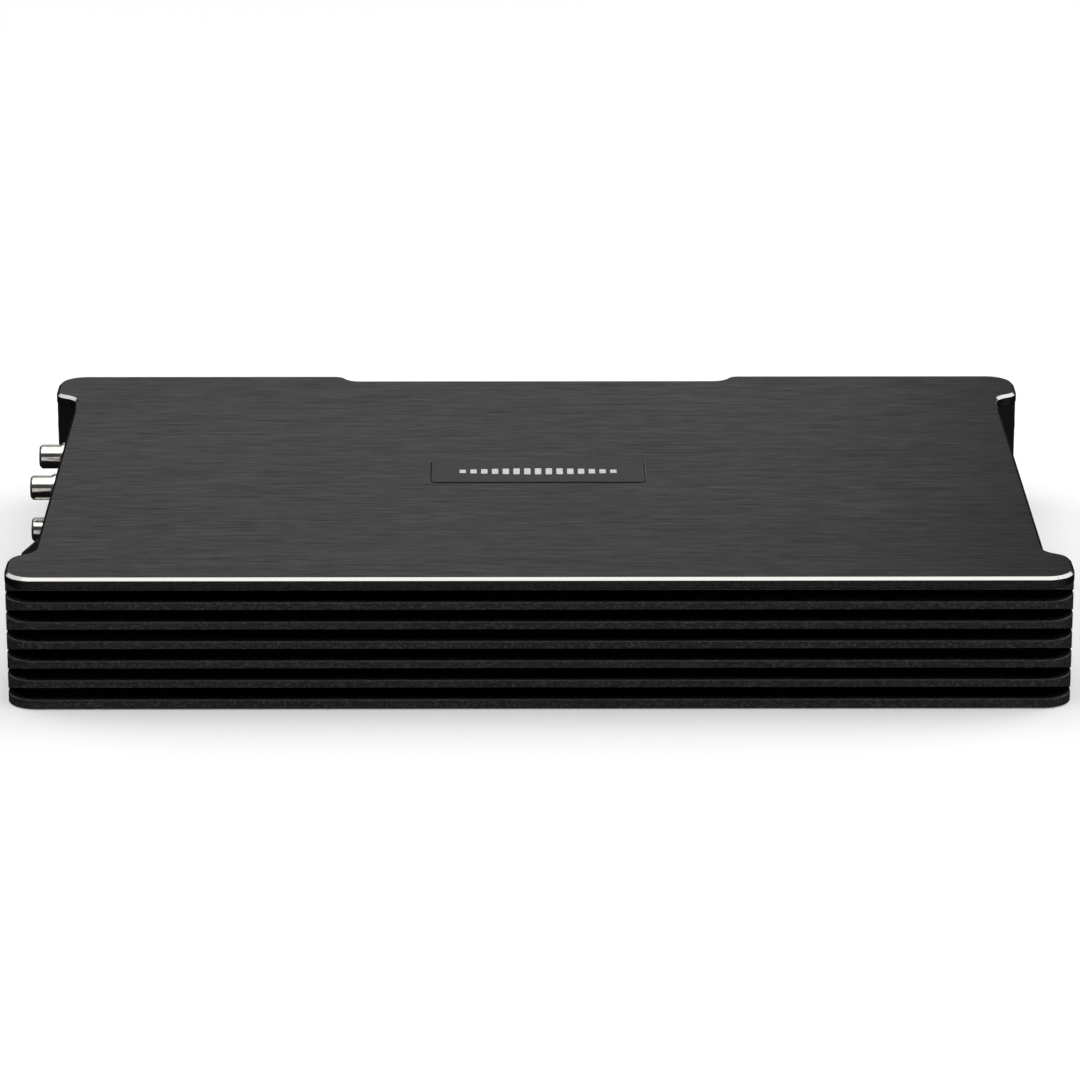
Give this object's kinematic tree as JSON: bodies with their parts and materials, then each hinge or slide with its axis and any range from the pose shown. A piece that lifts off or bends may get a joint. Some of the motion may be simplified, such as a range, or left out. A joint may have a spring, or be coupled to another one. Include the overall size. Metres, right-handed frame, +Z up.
{
  "type": "car amplifier",
  "caption": "Low finned car audio amplifier with a brushed cover, phono inputs at one end and fused power and speaker terminals at the other.",
  "frame": {"origin": "centre of the base, on the plane that it rests on", "axes": "+X the power end, +Y the front with the cover's shallow bay, +Z up"},
  "size_m": [0.3383, 0.2212, 0.0436],
  "materials": {
    "cover_aluminium": "brushed along the length and anodised dark grey, polished chamfer",
    "chassis_black": "fine bead-blasted black anodising",
    "cap_black": "smooth satin black anodising",
    "base_black": "fine-textured black powder coat",
    "badge_black": "satin, brushed along the length",
    "badge_silver": "satin silver",
    "screw_black": "black oxide",
    "screw_zinc": "bright zinc plate",
    "jack_chrome": "polished nickel chrome",
    "jack_insulator": "off-white moulded plastic",
    "contact_gold": "gold flash",
    "connector_black": "fine-textured moulded nylon",
    "control_black": "satin moulded plastic",
    "light_lens": "clear blue-tinted light pipe",
    "fuse_green": "tinted translucent plastic",
    "tin_plate": "tin plate",
    "brass": "machined and nickel-free",
    "board_laminate": "green solder mask",
    "winding_copper": "enamelled copper wire",
    "ferrite_grey": "sintered ferrite",
    "capacitor_sleeve": "shrunk sleeve",
    "package_black": "moulded epoxy",
    "pad_grey": "silicone thermal pad"
  },
  "bodies": {
    "root": {"top_cover": "cover_aluminium", "badge_plate": "badge_black", "badge_bars": "badge_silver", "chassis": "chassis_black", "input_end_cap": "cap_black", "power_end_cap": "cap_black", "bottom_plate": "base_black", "cover_screws": "screw_zinc", "end_cap_screws": "screw_black", "bottom_plate_screws": "screw_black", "main_board": "board_laminate", "board_spacers": "tin_plate", "board_screws": "screw_zinc", "output_transistors": "package_black", "transistor_pads": "pad_grey", "transistor_screws": "screw_zinc", "transformer_core": "ferrite_grey", "transformer_winding": "winding_copper", "storage_capacitors": "capacitor_sleeve", "supply_choke": "ferrite_grey", "preamp_board": "board_laminate", "preamp_chips": "package_black", "phono_shell_1": "jack_chrome", "phono_shell_2": "jack_chrome", "phono_shell_3": "jack_chrome", "phono_insulators": "jack_insulator", "phono_contacts": "contact_gold", "phono_blocks": "connector_black", "control_pots": "control_black", "filter_switch_body": "connector_black", "status_light": "light_lens", "harness_socket": "connector_black", "harness_pins": "tin_plate", "power_terminal_block": "connector_black", "speaker_terminal_block": "connector_black", "terminal_clamps": "brass", "fuse_holder": "connector_black", "fuse_contacts": "brass"},
    "level_control": {"level_knob": "control_black"},
    "crossover_control": {"crossover_knob": "control_black"},
    "filter_switch": {"filter_switch_lever": "control_black"},
    "fuse_one": {"fuse_1_body": "fuse_green", "fuse_1_blades": "tin_plate"},
    "fuse_two": {"fuse_2_body": "fuse_green", "fuse_2_blades": "tin_plate"},
    "supply_pressure": {"supply_plate": "brass"},
    "supply_clamp": {"supply_screw": "screw_zinc"},
    "ground_pressure": {"ground_plate": "brass"},
    "ground_clamp": {"ground_screw": "screw_zinc"},
    "remote_pressure": {"remote_plate": "brass"},
    "remote_clamp": {"remote_screw": "screw_zinc"},
    "speaker_1_pressure": {"speaker_1_plate": "brass"},
    "speaker_1_clamp": {"speaker_1_screw": "screw_zinc"},
    "speaker_2_pressure": {"speaker_2_plate": "brass"},
    "speaker_2_clamp": {"speaker_2_screw": "screw_zinc"},
    "speaker_3_pressure": {"speaker_3_plate": "brass"},
    "speaker_3_clamp": {"speaker_3_screw": "screw_zinc"},
    "speaker_4_pressure": {"speaker_4_plate": "brass"},
    "speaker_4_clamp": {"speaker_4_screw": "screw_zinc"}
  },
  "joints": [
    {"name": "level_turn", "type": "hinge", "parent": "root", "child": "level_control", "pos_m": [-0.16, 0.044, 0.013], "axis": [-1, 0, 0], "range_deg": [-150, 150]},
    {"name": "crossover_turn", "type": "hinge", "parent": "root", "child": "crossover_control", "pos_m": [-0.16, 0.008, 0.027], "axis": [-1, 0, 0], "range_deg": [-150, 150]},
    {"name": "filter_slide", "type": "slide", "parent": "root", "child": "filter_switch", "axis": [0, 1, 0], "range_m": [-0.002, 0.002]},
    {"name": "fuse_one_pull", "type": "slide", "parent": "root", "child": "fuse_one", "axis": [1, 0, 0], "range_m": [0, 0.016]},
    {"name": "fuse_two_pull", "type": "slide", "parent": "root", "child": "fuse_two", "axis": [1, 0, 0], "range_m": [0, 0.016]},
    {"name": "supply_press", "type": "slide", "parent": "root", "child": "supply_pressure", "axis": [0, 0, -1], "range_m": [0, 0.0049]},
    {"name": "supply_turn", "type": "hinge", "parent": "supply_pressure", "child": "supply_clamp", "pos_m": [0.1618, -0.0575, 0.0198], "axis": [0, 0, -1], "range_deg": [0, 2538]},
    {"name": "ground_press", "type": "slide", "parent": "root", "child": "ground_pressure", "axis": [0, 0, -1], "range_m": [0, 0.0049]},
    {"name": "ground_turn", "type": "hinge", "parent": "ground_pressure", "child": "ground_clamp", "pos_m": [0.1618, -0.043, 0.0198], "axis": [0, 0, -1], "range_deg": [0, 2538]},
    {"name": "remote_press", "type": "slide", "parent": "root", "child": "remote_pressure", "axis": [0, 0, -1], "range_m": [0, 0.0049]},
    {"name": "remote_turn", "type": "hinge", "parent": "remote_pressure", "child": "remote_clamp", "pos_m": [0.1618, -0.0304, 0.0198], "axis": [0, 0, -1], "range_deg": [0, 2538]},
    {"name": "speaker_1_press", "type": "slide", "parent": "root", "child": "speaker_1_pressure", "axis": [0, 0, -1], "range_m": [0, 0.0049]},
    {"name": "speaker_1_turn", "type": "hinge", "parent": "speaker_1_pressure", "child": "speaker_1_clamp", "pos_m": [0.1618, 0.0265, 0.0198], "axis": [0, 0, -1], "range_deg": [0, 2538]},
    {"name": "speaker_2_press", "type": "slide", "parent": "root", "child": "speaker_2_pressure", "axis": [0, 0, -1], "range_m": [0, 0.0049]},
    {"name": "speaker_2_turn", "type": "hinge", "parent": "speaker_2_pressure", "child": "speaker_2_clamp", "pos_m": [0.1618, 0.0375, 0.0198], "axis": [0, 0, -1], "range_deg": [0, 2538]},
    {"name": "speaker_3_press", "type": "slide", "parent": "root", "child": "speaker_3_pressure", "axis": [0, 0, -1], "range_m": [0, 0.0049]},
    {"name": "speaker_3_turn", "type": "hinge", "parent": "speaker_3_pressure", "child": "speaker_3_clamp", "pos_m": [0.1618, 0.0485, 0.0198], "axis": [0, 0, -1], "range_deg": [0, 2538]},
    {"name": "speaker_4_press", "type": "slide", "parent": "root", "child": "speaker_4_pressure", "axis": [0, 0, -1], "range_m": [0, 0.0049]},
    {"name": "speaker_4_turn", "type": "hinge", "parent": "speaker_4_pressure", "child": "speaker_4_clamp", "pos_m": [0.1618, 0.0595, 0.0198], "axis": [0, 0, -1], "range_deg": [0, 2538]}
  ],
  "couplings": [
    {"joint": "supply_turn", "follows": "supply_press", "rad_per_m": 8976},
    {"joint": "ground_turn", "follows": "ground_press", "rad_per_m": 8976},
    {"joint": "remote_turn", "follows": "remote_press", "rad_per_m": 8976},
    {"joint": "speaker_1_turn", "follows": "speaker_1_press", "rad_per_m": 8976},
    {"joint": "speaker_2_turn", "follows": "speaker_2_press", "rad_per_m": 8976},
    {"joint": "speaker_3_turn", "follows": "speaker_3_press", "rad_per_m": 8976},
    {"joint": "speaker_4_turn", "follows": "speaker_4_press", "rad_per_m": 8976}
  ]
}
